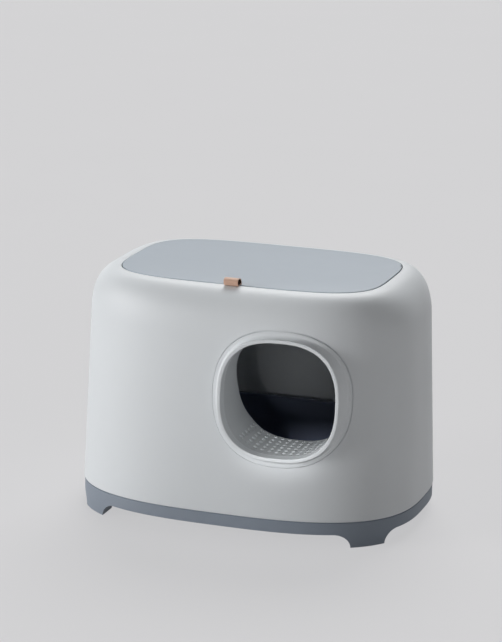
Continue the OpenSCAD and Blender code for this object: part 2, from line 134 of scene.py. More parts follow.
class EntrySizes(bpy.types.PropertyGroup):
    """Sizes of the round entry and its tunnel."""

    centre_x: FloatProperty(
        name="Centre to the right", default=94 * MM, unit="LENGTH",
        description="Distance of the entry's centre from the middle of the box")
    centre_z: FloatProperty(
        name="Centre height", default=231.1 * MM, unit="LENGTH",
        description="Height of the entry's centre")
    clear: FloatProperty(
        name="Clear width", default=178 * MM, unit="LENGTH", description="Clear width of the entry")
    square: FloatProperty(
        name="Squareness", default=2.56, description="Squareness of the entry, where 2 is a circle")
    edge_square: FloatProperty(
        name="Edge squareness", default=2.34, description="Squareness of the collar's outer edge")
    collar_width: FloatProperty(
        name="Collar width", default=16.3 * MM, unit="LENGTH",
        description="Width of the collar from the clear passage to its outer edge")
    rim_set: FloatProperty(
        name="Rim set-back", default=0.2 * MM, unit="LENGTH",
        description="Distance of the rim from the clear passage")
    rim_width: FloatProperty(
        name="Rim width", default=5.4 * MM, unit="LENGTH",
        description="Width of the flat rim")
    hollow_width: FloatProperty(
        name="Hollow width", default=6.4 * MM, unit="LENGTH",
        description="Width of the hollow slope outside the rim")
    neck_wall: FloatProperty(
        name="Neck", default=2.9 * MM, unit="LENGTH",
        description="Thickness of the collar's neck in the hood's port")
    edge_thick: FloatProperty(
        name="Edge", default=1.8 * MM, unit="LENGTH",
        description="How far the collar's outer edge stands on the hood's face")
    tunnel_wall: FloatProperty(
        name="Tunnel wall", default=2.5 * MM, unit="LENGTH",
        description="Thickness of the tunnel's wall")
    flange_width: FloatProperty(
        name="Flange width", default=15 * MM, unit="LENGTH",
        description="Width of the flange inside the hood, from the clear passage")
    hole_columns: IntProperty(
        name="Hole columns", default=12,
        description="Litter holes across the tunnel")
    hole_rows: IntProperty(
        name="Hole rows", default=6,
        description="Litter holes along the tunnel")
    hole_size: FloatProperty(
        name="Hole size", default=6 * MM, unit="LENGTH",
        description="Diameter of a litter hole")
    hole_pitch_x: FloatProperty(
        name="Hole pitch across", default=11.4 * MM, unit="LENGTH",
        description="Distance between columns of holes")
    hole_pitch_y: FloatProperty(
        name="Hole pitch along", default=12.9 * MM, unit="LENGTH",
        description="Distance between rows of holes")
    hole_shift: FloatProperty(
        name="Hole shift", default=2.63 * MM, unit="LENGTH",
        description="Shift of the holes to the left of the entry's centre")
    hole_start: FloatProperty(
        name="Hole start", default=9 * MM, unit="LENGTH",
        description="Distance of the first row from the tunnel's rear edge")
    rim_out: FloatProperty(
        name="Rim stand-out", default=10.5 * MM, unit="LENGTH",
        description="How far the rim stands out from the hood at the entry's centre")
    rim_yaw: FloatProperty(
        name="Rim turn", default=float(np.radians(3.9)), subtype="ANGLE",
        description="Turn of the rim's plane toward the right")
    rear: FloatProperty(
        name="Tunnel rear", default=99 * MM, unit="LENGTH",
        description="Distance of the tunnel's rear edge from the middle of the box")
    slant_z: FloatProperty(
        name="Slant start", default=168 * MM, unit="LENGTH",
        description="Height above which the tunnel's rear edge slants forward")
    slant: FloatProperty(
        name="Slant", default=0.39, description="Forward slant for each metre of height")


class LidSizes(bpy.types.PropertyGroup):
    """Sizes of the lid and its leather tab."""

    square: FloatProperty(
        name="Squareness", default=3.92, description="Squareness of the lid's outline")
    gap: FloatProperty(
        name="Gap", default=1.2 * MM, unit="LENGTH", description="Gap around the lid")
    plate: FloatProperty(
        name="Plate", default=3 * MM, unit="LENGTH", description="Thickness of the lid's plate")
    lip_set: FloatProperty(
        name="Lip set-back", default=8 * MM, unit="LENGTH",
        description="Distance of the stiffening lip from the lid's edge")
    lip: FloatProperty(
        name="Lip", default=2.2 * MM, unit="LENGTH", description="Thickness of the lip")
    seat_width: FloatProperty(
        name="Seat width", default=26.2 * MM, unit="LENGTH",
        description="Width of the seat that carries the lid's lip")
    seat_thick: FloatProperty(
        name="Seat", default=2.5 * MM, unit="LENGTH", description="Thickness of the seat")
    opening: FloatProperty(
        name="Opening angle", default=float(np.radians(100)), subtype="ANGLE",
        description="How far the lid opens")
    boss: FloatProperty(
        name="Boss", default=6.2 * MM, unit="LENGTH", description="Diameter of a hinge boss")
    boss_length: FloatProperty(
        name="Boss length", default=22 * MM, unit="LENGTH", description="Length of a hinge boss")
    loop_height: FloatProperty(
        name="Loop height", default=11.6 * MM, unit="LENGTH",
        description="Height of the tab's loop above the lid")
    loop_length: FloatProperty(
        name="Loop length", default=17 * MM, unit="LENGTH",
        description="Length of the tab's loop forward of its slot")
    tail_length: FloatProperty(
        name="Tail length", default=22 * MM, unit="LENGTH",
        description="Length of the tab's tails under the lid")
    slot_set: FloatProperty(
        name="Slot set-back", default=2.7 * MM, unit="LENGTH",
        description="Distance of the tab's slot from the lid's front edge")
    tab_thick: FloatProperty(
        name="Leather", default=1.6 * MM, unit="LENGTH", description="Thickness of the leather")


class FinishColours(bpy.types.PropertyGroup):
    """Colours of the finishes."""

    hood: FloatVectorProperty(
        name="Hood", subtype="COLOR", size=4, default=srgb(226, 230, 233),
        description="Pale moulded plastic of the hood")
    # The lid shares the base's blue-grey plastic; its paler colour here is painted light, standing
    # for the light on its up-facing top.
    lid: FloatVectorProperty(
        name="Lid", subtype="COLOR", size=4, default=srgb(172, 182, 192),
        description="Blue-grey moulded plastic of the lid")
    base: FloatVectorProperty(
        name="Base", subtype="COLOR", size=4, default=srgb(138, 147, 159),
        description="Blue-grey moulded plastic of the base")
    pan: FloatVectorProperty(
        name="Pan", subtype="COLOR", size=4, default=srgb(104, 112, 134),
        description="Dark moulded plastic of the pan")
    leather: FloatVectorProperty(
        name="Leather", subtype="COLOR", size=4, default=srgb(192, 118, 88),
        description="Tanned leather of the tab")
    # The leather's flesh side, made this dark as painted shade for the inside of the loop.
    flesh: FloatVectorProperty(
        name="Leather inside", subtype="COLOR", size=4, default=srgb(70, 48, 36),
        description="Flesh side of the leather, inside the loop")
    rubber: FloatVectorProperty(
        name="Rubber", subtype="COLOR", size=4, default=srgb(52, 53, 55),
        description="Rubber of the foot pads")
    steel: FloatVectorProperty(
        name="Steel", subtype="COLOR", size=4, default=srgb(188, 190, 193),
        description="Steel of the pins and screws")


GROUPS = {
    "box_body": BodySizes,
    "box_entry": EntrySizes,
    "box_lid": LidSizes,
    "box_finish": FinishColours,
}


# Outlines and surfaces


def spow(v, e):
    """Power of the size of v that keeps its sign."""
    return np.sign(v) * np.abs(v) ** e


def super_outline(a, b, n, count, turn=0.0):
    """Superellipse: at angle t the point is a times cos t and b times sin t, each to the power
    2 / n with its sign kept. The angles are spread so that the points lie evenly."""
    fine = np.linspace(0, 2 * np.pi, 16 * count + 1) + turn
    x = a * spow(np.cos(fine), 2 / n)
    y = b * spow(np.sin(fine), 2 / n)
    run = np.concatenate([[0], np.cumsum(np.hypot(np.diff(x), np.diff(y)))])
    at = np.linspace(0, run[-1], count, endpoint=False)
    return np.interp(at, run, x), np.interp(at, run, y)


def mesh_piece(name, points, faces, sharp=None):
    """Object from points in metres and faces, smooth shaded but for edges past an angle."""
    mesh = bpy.data.meshes.new(name)
    mesh.from_pydata(np.asarray(points).tolist(), [], [list(f) for f in faces])
    mesh.validate()
    mesh.shade_smooth()
    if sharp:
        mesh.set_sharp_from_angle(angle=float(np.radians(sharp)))
    obj = bpy.data.objects.new(name, mesh)
    bpy.context.scene.collection.objects.link(obj)
    return obj


def ring_faces(rows, cols, joined):
    """Quads between neighbouring rings; the last ring meets the first where joined."""
    last = rows if joined else rows - 1
    j, i = np.meshgrid(np.arange(last), np.arange(cols), indexing="ij")
    k, h = (j + 1) % rows, (i + 1) % cols
    quads = np.stack([j * cols + i, j * cols + h, k * cols + h, k * cols + i], -1)
    return quads.reshape(-1, 4).tolist()


def ring_piece(name, rings, joined, sharp=35.0):
    """Closed surface through an array of rings (ring, point, xyz), capped where not joined."""
    rows, cols, _ = rings.shape
    faces = ring_faces(rows, cols, joined)
    if not joined:
        faces.append(list(range(cols - 1, -1, -1)))
        faces.append([(rows - 1) * cols + i for i in range(cols)])
    return mesh_piece(name, rings.reshape(-1, 3), faces, sharp)


def plan_rings(rows, count):
    """Level rings: each row is half width, half depth, squareness and height."""
    out = np.zeros((len(rows), count, 3))
    for k, (a, b, n, z) in enumerate(rows):
        out[k, :, 0], out[k, :, 1] = super_outline(a, b, n, count)
        out[k, :, 2] = z
    return out


def corner(start, mid, end, steps=4):
    """Quarter turn between two points of a profile that bends at mid, as a quadratic curve."""
    s = np.linspace(0, 1, steps + 1)[:, None]
    a, m, b = (np.asarray(v, float) for v in (start, mid, end))
    return ((1 - s) ** 2 * a + 2 * s * (1 - s) * m + s ** 2 * b).tolist()


def rounded(profile, radius, steps=4):
    """Open profile with its inner corners rounded: near each corner the path follows a
    quadratic curve between the two points that lie the radius away along its sides."""
    pts = [np.asarray(p, float) for p in profile]
    out = [pts[0].tolist()]
    for a, m, b in zip(pts, pts[1:], pts[2:]):
        ra = min(radius, np.linalg.norm(a - m) * 0.45)
        rb = min(radius, np.linalg.norm(b - m) * 0.45)
        start = m + (a - m) / np.linalg.norm(a - m) * ra
        end = m + (b - m) / np.linalg.norm(b - m) * rb
        out += corner(start, m, end, steps)
    out.append(pts[-1].tolist())
    return out


def prism_piece(name, outline, start, end, axis):
    """Prism of a closed outline along an axis, between two places on it."""
    outline = np.asarray(outline)
    rings = np.zeros((2, len(outline), 3))
    others = [k for k in range(3) if k != axis]
    for k, place in enumerate((start, end)):
        rings[k][:, others] = outline
        rings[k][:, axis] = place
    faces = ring_faces(2, len(outline), False)
    cols = len(outline)
    faces.append(list(range(cols - 1, -1, -1)))
    faces.append([cols + i for i in range(cols)])
    obj = mesh_piece(name, rings.reshape(-1, 3), faces)
    recalc(obj)
    return obj


def recalc(obj):
    """Turns every face outward."""
    bm = bmesh.new()
    bm.from_mesh(obj.data)
    bmesh.ops.recalc_face_normals(bm, faces=bm.faces)
    bm.to_mesh(obj.data)
    bm.free()


def carve(obj, cutter, operation="DIFFERENCE"):
    """Cuts one closed surface with another and keeps the result as plain mesh."""
    mod = obj.modifiers.new("carve", "BOOLEAN")
    mod.operation = operation
    mod.solver = "EXACT"
    mod.object = cutter
    deps = bpy.context.evaluated_depsgraph_get()
    mesh = bpy.data.meshes.new_from_object(obj.evaluated_get(deps))
    old = obj.data
    obj.modifiers.clear()
    obj.data = mesh
    mesh.name = obj.name
    bpy.data.meshes.remove(old)
    spare = cutter.data
    bpy.data.objects.remove(cutter)
    bpy.data.meshes.remove(spare)


def smooth(obj, sharp=35.0):
    """Smooth shading, with edges past the angle left sharp."""
    obj.data.shade_smooth()
    obj.data.set_sharp_from_angle(angle=float(np.radians(sharp)))


# Shape of the hood's face


class HoodShape:
    """The hood's skin. A straight wall leans inward at a steady rate; above it the half sizes
    shrink toward the lid's recess as the share u, where u to the power p and the share of the
    rounded height to the power p add up to 1. The squareness goes the same way."""

    def __init__(self):
        scene = bpy.context.scene
        self.body, self.lid = scene.box_body, scene.box_lid
        lo, hi = low("hood_shell"), high("hood_shell")
        self.seam, self.crest = lo[2], hi[2]
        self.half = (hi[:2] - lo[:2]) / 2
        lid_lo, lid_hi = low("top_lid"), high("top_lid")
        self.lid_half = (lid_hi[:2] - lid_lo[:2]) / 2
        self.well = self.lid_half + self.lid.gap
        self.straight = self.crest - self.body.round_height
        self.edge = 0.8 * MM

    def share(self, z, inset=0.0):
        w = np.clip((z - self.straight) / (self.body.round_height - inset), 0, 1)
        return (1 - w ** self.body.round_full) ** (1 / self.body.round_full)

    def half_size(self, k, z, inset=0.0):
        core = self.well[k] + max(self.edge, inset)
        rise = np.minimum(z, self.straight) - self.seam
        straight = self.half[k] - self.body.draft * rise - inset
        return core + (straight - core) * self.share(z, inset)

    def squareness(self, z, inset=0.0):
        return self.lid.square + (self.body.square - self.lid.square) * self.share(z, inset)

    def front(self, x, z, inset=0.0):
        """Place along Y of the front face at x and z, set in by a depth."""
        n = self.squareness(z, inset)
        side = np.clip(np.abs(x) / self.half_size(0, z, inset), 0, 1)
        return -self.half_size(1, z, inset) * (1 - side ** n) ** (1 / n)

    def rows(self, heights, inset=0.0):
        return [(self.half_size(0, z, inset), self.half_size(1, z, inset),
                 self.squareness(z, inset), z) for z in heights]


def round_heights(shape, inset, steps):
    """Heights up the rounded top, close together where it turns level."""
    w = np.sin(np.linspace(0, np.pi / 2, steps + 1)[1:]) ** (2 / shape.body.round_full)
    return shape.straight + (shape.body.round_height - inset) * w


# Shader maths


class Sock:
    """A node's output that takes part in sums written as Python expressions."""

    def __init__(self, tree, out):
        self.tree, self.out = tree, out

    def _maths(self, operation, a, b):
        return node(self.tree, "ShaderNodeMath", {"operation": operation}, {0: a, 1: b})

    def __add__(self, other):
        return self._maths("ADD", self, other)

    def __radd__(self, other):
        return self._maths("ADD", other, self)

    def __sub__(self, other):
        return self._maths("SUBTRACT", self, other)

    def __rsub__(self, other):
        return self._maths("SUBTRACT", other, self)

    def __mul__(self, other):
        return self._maths("MULTIPLY", self, other)

    def __rmul__(self, other):
        return self._maths("MULTIPLY", other, self)


def node(tree, kind, settings=None, inputs=None, out=0):
    """Adds a node: its settings first, then the values or links of its sockets."""
    made = tree.nodes.new(kind)
    for key, value in (settings or {}).items():
        if key == "stops":
            ramp = made.color_ramp
            while len(ramp.elements) < len(value):
                ramp.elements.new(0.5)
            for element, (place, colour) in zip(ramp.elements, value):
                element.position, element.color = place, colour
        else:
            setattr(made, key, value)
    for key, value in (inputs or {}).items():
        if isinstance(value, Sock):
            tree.links.new(value.out, made.inputs[key])
        else:
            made.inputs[key].default_value = value
    return Sock(tree, made.outputs[out])


class Finish:
    """A material under construction, with its Principled shader and object coordinates."""

    def __init__(self, name, colour, roughness, **fixed):
        self.material = bpy.data.materials.new(name)
        self.material.use_nodes = True
        self.tree = self.material.node_tree
        self.shader = self.tree.nodes["Principled BSDF"]
        self.shader.inputs["Base Color"].default_value = colour
        self.shader.inputs["Roughness"].default_value = roughness
        for key, value in fixed.items():
            self.shader.inputs[key.replace("_", " ")].default_value = value
        self.place = node(self.tree, "ShaderNodeTexCoord", out="Object")

    def noise(self, scale, detail=2.0, rough=0.5, stretch=None):
        place = self.place
        if stretch:
            place = node(self.tree, "ShaderNodeMapping", {}, {"Vector": place, "Scale": stretch})
        return node(self.tree, "ShaderNodeTexNoise", {"noise_dimensions": "3D"},
                    {"Vector": place, "Scale": scale, "Detail": detail, "Roughness": rough})

    def cells(self, scale, feature="F1"):
        return node(self.tree, "ShaderNodeTexVoronoi", {"feature": feature},
                    {"Vector": self.place, "Scale": scale})

    def mix(self, factor, first, second):
        made = self.tree.nodes.new("ShaderNodeMix")
        made.data_type = "RGBA"
        for index, value in ((0, factor), (6, first), (7, second)):
            if isinstance(value, Sock):
                self.tree.links.new(value.out, made.inputs[index])
            else:
                made.inputs[index].default_value = value
        return Sock(self.tree, made.outputs[2])

    def band(self, value, start, end):
        """0 below start and 1 above end."""
        return node(self.tree, "ShaderNodeMapRange", {"clamp": True},
                    {"Value": value, "From Min": start, "From Max": end})

    def feed(self, socket, value):
        self.tree.links.new(value.out, self.shader.inputs[socket])

    def bump(self, height, strength, distance):
        made = node(self.tree, "ShaderNodeBump", {},
                    {"Height": height, "Strength": strength, "Distance": distance})
        self.feed("Normal", made)


def shade(colour, factor):
    """Colour made darker or lighter by a factor."""
    return (*[min(1.0, c * factor) for c in colour[:3]], 1.0)


def moulded(name, colour, roughness, grain, cloud=0.05, specular=0.4):
    """Moulded plastic: a fine spark-eroded grain, slow clouds in its tone, and a roughness
    that wanders a little where hands and cleaning have polished it."""
    f = Finish(name, colour, roughness)
    f.shader.inputs["Specular IOR Level"].default_value = specular
    slow = f.noise(9.0, 3.0, 0.55)
    f.feed("Base Color", f.mix(slow, shade(colour, 1 - cloud), shade(colour, 1 + cloud)))
    f.feed("Roughness", roughness - 0.05 + 0.10 * f.noise(28.0, 4.0, 0.6))
    f.bump(0.7 * f.noise(2600.0, 1.0, 0.4) + 0.3 * f.cells(1500.0), grain, 0.00012)
    return f.material


def leather(name, colour):
    """Smooth tanned leather: pebbled grain from two scales of cells, pores, and darker
    tone in the valleys."""
    f = Finish(name, colour, 0.55)
    f.shader.inputs["Specular IOR Level"].default_value = 0.35
    pebble = f.cells(900.0, "SMOOTH_F1")
    valley = f.band(pebble, 0.25, 0.75)
    tone = f.mix(f.noise(140.0, 4.0, 0.6), shade(colour, 0.86), shade(colour, 1.12))
    f.feed("Base Color", f.mix(valley * 0.5, tone, shade(colour, 0.62)))
    f.feed("Roughness", 0.48 + 0.2 * valley)
    f.bump(1.0 - pebble * 0.8 + 0.3 * f.noise(1800.0, 2.0, 0.5), 0.5, 0.0003)
    return f.material


def rubber(name, colour):
    """Matt rubber with a dusty bloom."""
    f = Finish(name, colour, 0.85)
    dust = f.noise(220.0, 5.0, 0.65)
    f.feed("Base Color", f.mix(dust * 0.35, colour, shade(colour, 2.4)))
    f.bump(f.noise(1400.0, 3.0, 0.6), 0.4, 0.0002)
    return f.material


def turned_steel(name, colour):
    """Turned steel: rings of fine tool marks in the bump and the roughness."""
    f = Finish(name, colour, 0.32, Metallic=1.0)
    marks = f.noise(700.0, 2.0, 0.5, stretch=(14.0, 1.0, 14.0))
    f.feed("Roughness", 0.24 + 0.2 * marks)
    f.feed("Base Color", f.mix(marks, shade(colour, 0.9), shade(colour, 1.06)))
    f.bump(marks, 0.15, 0.0001)
    return f.material


def finish(name):
    """The named material, made on first use."""
    have = bpy.data.materials.get(name)
    if have:
        return have
    c = bpy.context.scene.box_finish
    makers = {
        "hood_satin": lambda: moulded(name, tuple(c.hood), 0.5, 0.16, 0.012),
        # The tunnel is the hood's own plastic, given 0.86 of its colour as painted shade for the
        # inside of the entry.
        "tunnel_painted_shade": lambda: moulded(name, shade(tuple(c.hood), 0.86), 0.48, 0.16, 0.02),
        # The base's blue-grey plastic, made paler by painted light on the lid's top.
        "lid_matt_painted_light": lambda: moulded(name, tuple(c.lid), 0.5, 0.2, 0.015),
        "base_matt": lambda: moulded(name, tuple(c.base), 0.55, 0.22, 0.03),
        "pan_satin": lambda: moulded(name, tuple(c.pan), 0.42, 0.2, 0.08),
        "tab_leather": lambda: leather(name, tuple(c.leather)),
        # Flesh side of the leather, its dark colour painted shade for the inside of the loop.
        "tab_flesh_painted_shade": lambda: leather(name, tuple(c.flesh)),
        "pad_rubber": lambda: rubber(name, tuple(c.rubber)),
        "turned_steel": lambda: turned_steel(name, tuple(c.steel)),
    }
    return makers[name]()


def dress(obj, material, body, slot, *nodes):
    """Finishes a new piece: material, body and the nodes it stands for. The slot argument is not
    used.
    """
    obj.data.materials.clear()
    obj.data.materials.append(finish(material))
    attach(obj, body)
    if nodes:
        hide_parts(*nodes)


def coat(nodename, material):
    """Gives a carried-over node its material."""
    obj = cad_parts[nodename]
    obj.data.materials.clear()
    obj.data.materials.append(finish(material))


# Entry


class EntryShape:
    """Rings round the entry. A ring's place along Y lies on the rim's plane, on the hood's
    face or a share of the way between them."""

    def __init__(self, count):
        self.hood = HoodShape()
        self.size = bpy.context.scene.box_entry
        self.count = count
        self.half = self.size.clear / 2
        self.lean = np.arctan(self.hood.body.draft)

    def outline(self, half, n):
        x, z = super_outline(half, half, n, self.count)
        return x + self.size.centre_x, z + self.size.centre_z

    def rim(self, x, z):
        s = self.size
        start = self.hood.front(s.centre_x, s.centre_z) - s.rim_out
        return (start + np.tan(s.rim_yaw) * (x - s.centre_x)
                + np.tan(self.lean) / np.cos(s.rim_yaw) * (z - s.centre_z))

    def ring(self, half, n, share, back=0.0, inset=0.0):
        x, z = self.outline(half, n)
        y = (1 - share) * (self.rim(x, z) + back) + share * self.hood.front(x, z, inset)
        return np.stack([x, y, z], -1)

    def end(self, half, back=0.0):
        """Ring on the tunnel's rear edge, upright below and slanting forward above."""
        s = self.size
        x, z = self.outline(half, s.square)
        y = -s.rear - s.slant * np.maximum(0, z - s.slant_z) - back
        return np.stack([x, y, z], -1)


def blend_rings(first, second, steps):
    """Rings evenly spaced between two rings, both ends left out."""
    s = np.linspace(0, 1, steps + 2)[1:-1, None, None]
    return list(first + (second - first) * s)


# Pieces


def make_hood():
    """Hood: rings up the leaning wall and over the rounded top, down the recess, back under
    the top and down inside, joined end to end; the port and the hinge bores are cut out."""
    shape = HoodShape()
    count = shape.body.around
    wall = shape.body.hood_wall
    steps = 26
    seam = shape.seam
    up = np.linspace(seam + 2.5 * MM, shape.straight, 40)
    outer = shape.rows(up) + shape.rows(round_heights(shape, 0.0, steps))
    (crest_a, crest_b, crest_n, crest_z) = outer[-1]
    well = shape.well
    well_low = low("top_lid")[2] - SEAT_GAP - shape.lid.seat_thick - 0.5 * MM
    turn = [(well[0] + shape.edge * (1 - np.sin(t)), well[1] + shape.edge * (1 - np.sin(t)),
             shape.lid.square, crest_z - shape.edge * (1 - np.cos(t)))
            for t in np.linspace(0, np.pi / 2, 6)[1:]]
    down = [(well[0], well[1], shape.lid.square, z)
            for z in np.linspace(crest_z - shape.edge, well_low, 6)[1:]]
    back = [(well[0] + wall, well[1] + wall, shape.lid.square, well_low)]
    under = shape.rows(round_heights(shape, wall, steps), wall)[::-1]
    inside = shape.rows(np.linspace(shape.straight, seam, 40), wall)
    rows = outer + turn + down + back + under + inside
    foot = [(rows[0][0] - 1.2 * MM, rows[0][1] - 1.2 * MM, shape.body.square, seam),
            (rows[0][0] - 0.35 * MM, rows[0][1] - 0.35 * MM, shape.body.square, seam + 0.35 * MM),
            (rows[0][0], rows[0][1], shape.body.square, seam + 1.2 * MM)]
    rings = plan_rings(foot + rows, count)
    obj = ring_piece("hood_skin", rings, True, 40.0)
    seat = make_lid_seat(shape, count)
    carve(obj, seat, "UNION")
    entry = EntryShape(160)
    x, z = entry.outline(entry.half + 3.5 * MM, entry.size.square)
    carve(obj, prism_piece("port_cut", np.stack([x, z], -1), -0.26, -0.06, 1))
    carve(obj, collar_groove())
    for side in ("left", "right"):
        cut_round(obj, f"hinge_pin_{side}", 0, 0.05 * MM, 0.5 * MM)
    smooth(obj, 40.0)
    dress(obj, "hood_satin", "hood", "hood_plastic", "hood_shell")


class LidHinge:
    """Where the lid turns. The relief is where the lid's sides are cut back so that they stay
    inside the recess when the lid stands up, and the stop is the place along Y where the lip
    of the opened lid comes to rest on the end of its seat."""

    def __init__(self, shape):
        lo, hi = low("hinge_pin_right"), high("hinge_pin_right")
        self.y, self.z = ((lo + hi) / 2)[1:]
        drop = high("top_lid")[2] - self.z
        sweep = 0.35 * MM
        side = 1 - ((self.y + drop + sweep) / shape.well[1]) ** shape.lid.square
        self.relief = shape.well[0] * side ** (1 / shape.lid.square) - sweep
        self.relief_front = self.y - drop - MM
        lip_drop = self.z - low("top_lid")[2]
        seat_drop = lip_drop + SEAT_GAP + shape.lid.seat_thick
        angle = shape.lid.opening
        run = (seat_drop - lip_drop * np.cos(angle)) / np.sin(angle)
        self.stop = self.y + run * np.cos(angle) - lip_drop * np.sin(angle) - sweep


def collar_groove():
    """Ring-shaped cutter along the collar's outer edge, on both sides of the hood's face."""
    e = EntryShape(256)
    n = e.size.edge_square
    edge = e.half + e.size.collar_width
    wide, deep = 1.1 * MM, 1.2 * MM
    rings = [e.ring(edge - wide, n, 1, 0, -MM), e.ring(edge + wide, n, 1, 0, -MM),
             e.ring(edge + wide, n, 1, 0, deep), e.ring(edge - wide, n, 1, 0, deep)]
    obj = ring_piece("groove_cut", np.array(rings), True)
    recalc(obj)
    return obj


def make_lid_seat(shape, count):
    """Ledge under the lid's lip, cut off square where the opened lid stops."""
    top = low("top_lid")[2] - SEAT_GAP
    bottom = top - shape.lid.seat_thick
    a, b = shape.well
    n = shape.lid.square
    inset = shape.lid.seat_width
    rows = [(a + MM, b + MM, n, bottom), (a + MM, b + MM, n, top),
            (a - inset + MM, b - inset + MM, n, top),
            (a - inset, b - inset, n, top - MM),
            (a - inset, b - inset, n, bottom)]
    seat = ring_piece("lid_seat", plan_rings(rows, count // 2), True)
    stop = LidHinge(shape).stop
    square = [(-FAR, stop), (FAR, stop), (FAR, FAR), (-FAR, FAR)]
    carve(seat, prism_piece("seat_cut", square, bottom - 0.01, top + 0.01, 2))
    return seat


def cut_round(obj, nodename, axis, clearance, over):
    """Cuts a round hole that a pin's node passes through, a clearance wider and longer."""
    lo, hi = low(nodename), high(nodename)
    others = [k for k in range(3) if k != axis]
    mid = (lo + hi) / 2
    r = (hi - lo)[others[0]] / 2 + clearance
    t = np.linspace(0, 2 * np.pi, 40, endpoint=False)
    outline = np.stack([mid[others[0]] + r * np.cos(t), mid[others[1]] + r * np.sin(t)], -1)
    carve(obj, prism_piece("round_cut", outline, lo[axis] - over, hi[axis] + over, axis))


def make_collar():
    """Collar: rings from the neck inside the hood out to the thin edge on its face, up the
    hollow slope, over the flat rim and back along the clear passage."""
    e = EntryShape(256)
    sq, esq = e.size.square, e.size.edge_square
    half = e.half
    rim, hollow = half + e.size.rim_set, e.size.hollow_width
    outer = rim + e.size.rim_width
    edge = half + e.size.collar_width
    neck, neck_depth = half + e.size.neck_wall, 4 * MM
    rim_round, edge_round = 0.8 * MM, 0.5 * MM
    skin = -0.15 * MM
    undercut, lifted = 1.6 * MM, skin - 0.6 * MM
    thin = e.size.edge_thick
    rings = [e.ring(neck, sq, 1, 0, neck_depth), e.ring(neck, sq, 1, 0, skin),
             e.ring(edge - undercut, esq, 1, 0, skin),
             e.ring(edge - 0.3 * MM, esq, 1, 0, lifted)]
    for t in np.linspace(0, np.pi / 2, 5):
        rings.append(e.ring(edge - edge_round * (1 - np.cos(t)), esq, 1, 0,
                            -thin + edge_round * (1 - np.sin(t))))
    for t in np.linspace(np.pi / 2, 0, 15):
        lean = 1 - np.cos(t)
        rings.append(e.ring(outer + hollow * lean, sq + (esq - sq) * lean, np.sin(t),
                            rim_round, -thin))
    for t in np.linspace(0, np.pi / 2, 6)[1:]:
        rings.append(e.ring(outer - rim_round * (1 - np.cos(t)), sq, 0,
                            rim_round * (1 - np.sin(t))))
    for t in np.linspace(np.pi / 2, 0, 6):
        rings.append(e.ring(rim + rim_round * (1 - np.cos(t)), sq, 0,
                            rim_round * (1 - np.sin(t))))
    last = e.ring(rim, sq, 1, 0, neck_depth)
    rings += blend_rings(rings[-1], last, 4)
    rings.append(last)
    obj = ring_piece("entry_rim", np.array(rings), True, 30.0)
    dress(obj, "hood_satin", "hood", "hood_plastic", "entry_collar")


def make_tunnel():
    """Tunnel: rings from the slanting rear edge forward to the flange inside the hood and back
    along the clear passage; the rows of litter holes are cut straight down through its floor."""
    e = EntryShape(224)
    half = e.half
    tube, flange = half + e.size.tunnel_wall, half + e.size.flange_width
    socket = half + 3.6 * MM
    wall = e.hood.body.hood_wall
    front, back, joint = wall + 0.3 * MM, wall + 2.7 * MM, wall + 1.2 * MM
    sq = e.size.square
    rings = [e.end(half + 0.6 * MM + 0.65 * MM * k, 0.18 * MM * abs(k - 1)) for k in range(3)]
    rings.append(e.end(tube, 0.8 * MM))
    start = e.ring(tube, sq, 1, 0, back)
    rings += blend_rings(rings[-1], start, 8)
    rings.append(start)
    rings += [e.ring(flange, sq, 1, 0, back), e.ring(flange, sq, 1, 0, front),
              e.ring(socket, sq, 1, 0, front), e.ring(socket, sq, 1, 0, joint),
              e.ring(half + 0.3 * MM, sq, 1, 0, joint),
              e.ring(half, sq, 1, 0, joint + 0.3 * MM)]
    last = e.end(half, 0.8 * MM)
    rings += blend_rings(rings[-1], last, 14)
    rings.append(last)
    obj = ring_piece("tunnel_liner", np.array(rings), True, 30.0)
    carve(obj, litter_holes(e))
    smooth(obj, 30.0)
    # Painted shade: the tunnel's finish is a darker copy of the hood's plastic.
    dress(obj, "tunnel_painted_shade", "hood", "tunnel_plastic", "entry_tunnel")
    paint_hole_walls(obj.data, e, e.hood.front(e.size.centre_x, e.size.centre_z) + back)


def paint_hole_walls(mesh, e, front):
    """Gives the walls of the litter holes the hood's unshaded colour, so that they stand lighter
    than the rest of the tunnel, which carries painted shade: a painted highlight on the walls. They
    are the upright faces low in the tunnel, between its rear edge and its flange."""
    normals, mids = (np.zeros((len(mesh.polygons), 3)) for _ in range(2))
    mesh.polygons.foreach_get("normal", normals.ravel())
    mesh.polygons.foreach_get("center", mids.ravel())
    wall = np.abs(normals[:, 2]) < 0.002
    wall &= mids[:, 2] < e.size.centre_z - 0.5 * e.half
    wall &= mids[:, 1] < -e.size.rear - 2 * MM
    wall &= mids[:, 1] > front + MM
    # Painted highlight: the hole walls take the hood's plain colour against the tunnel's painted
    # shade.
    mesh.materials.append(finish("hood_satin"))
    mesh.polygons.foreach_set("material_index", wall.astype(np.int32))


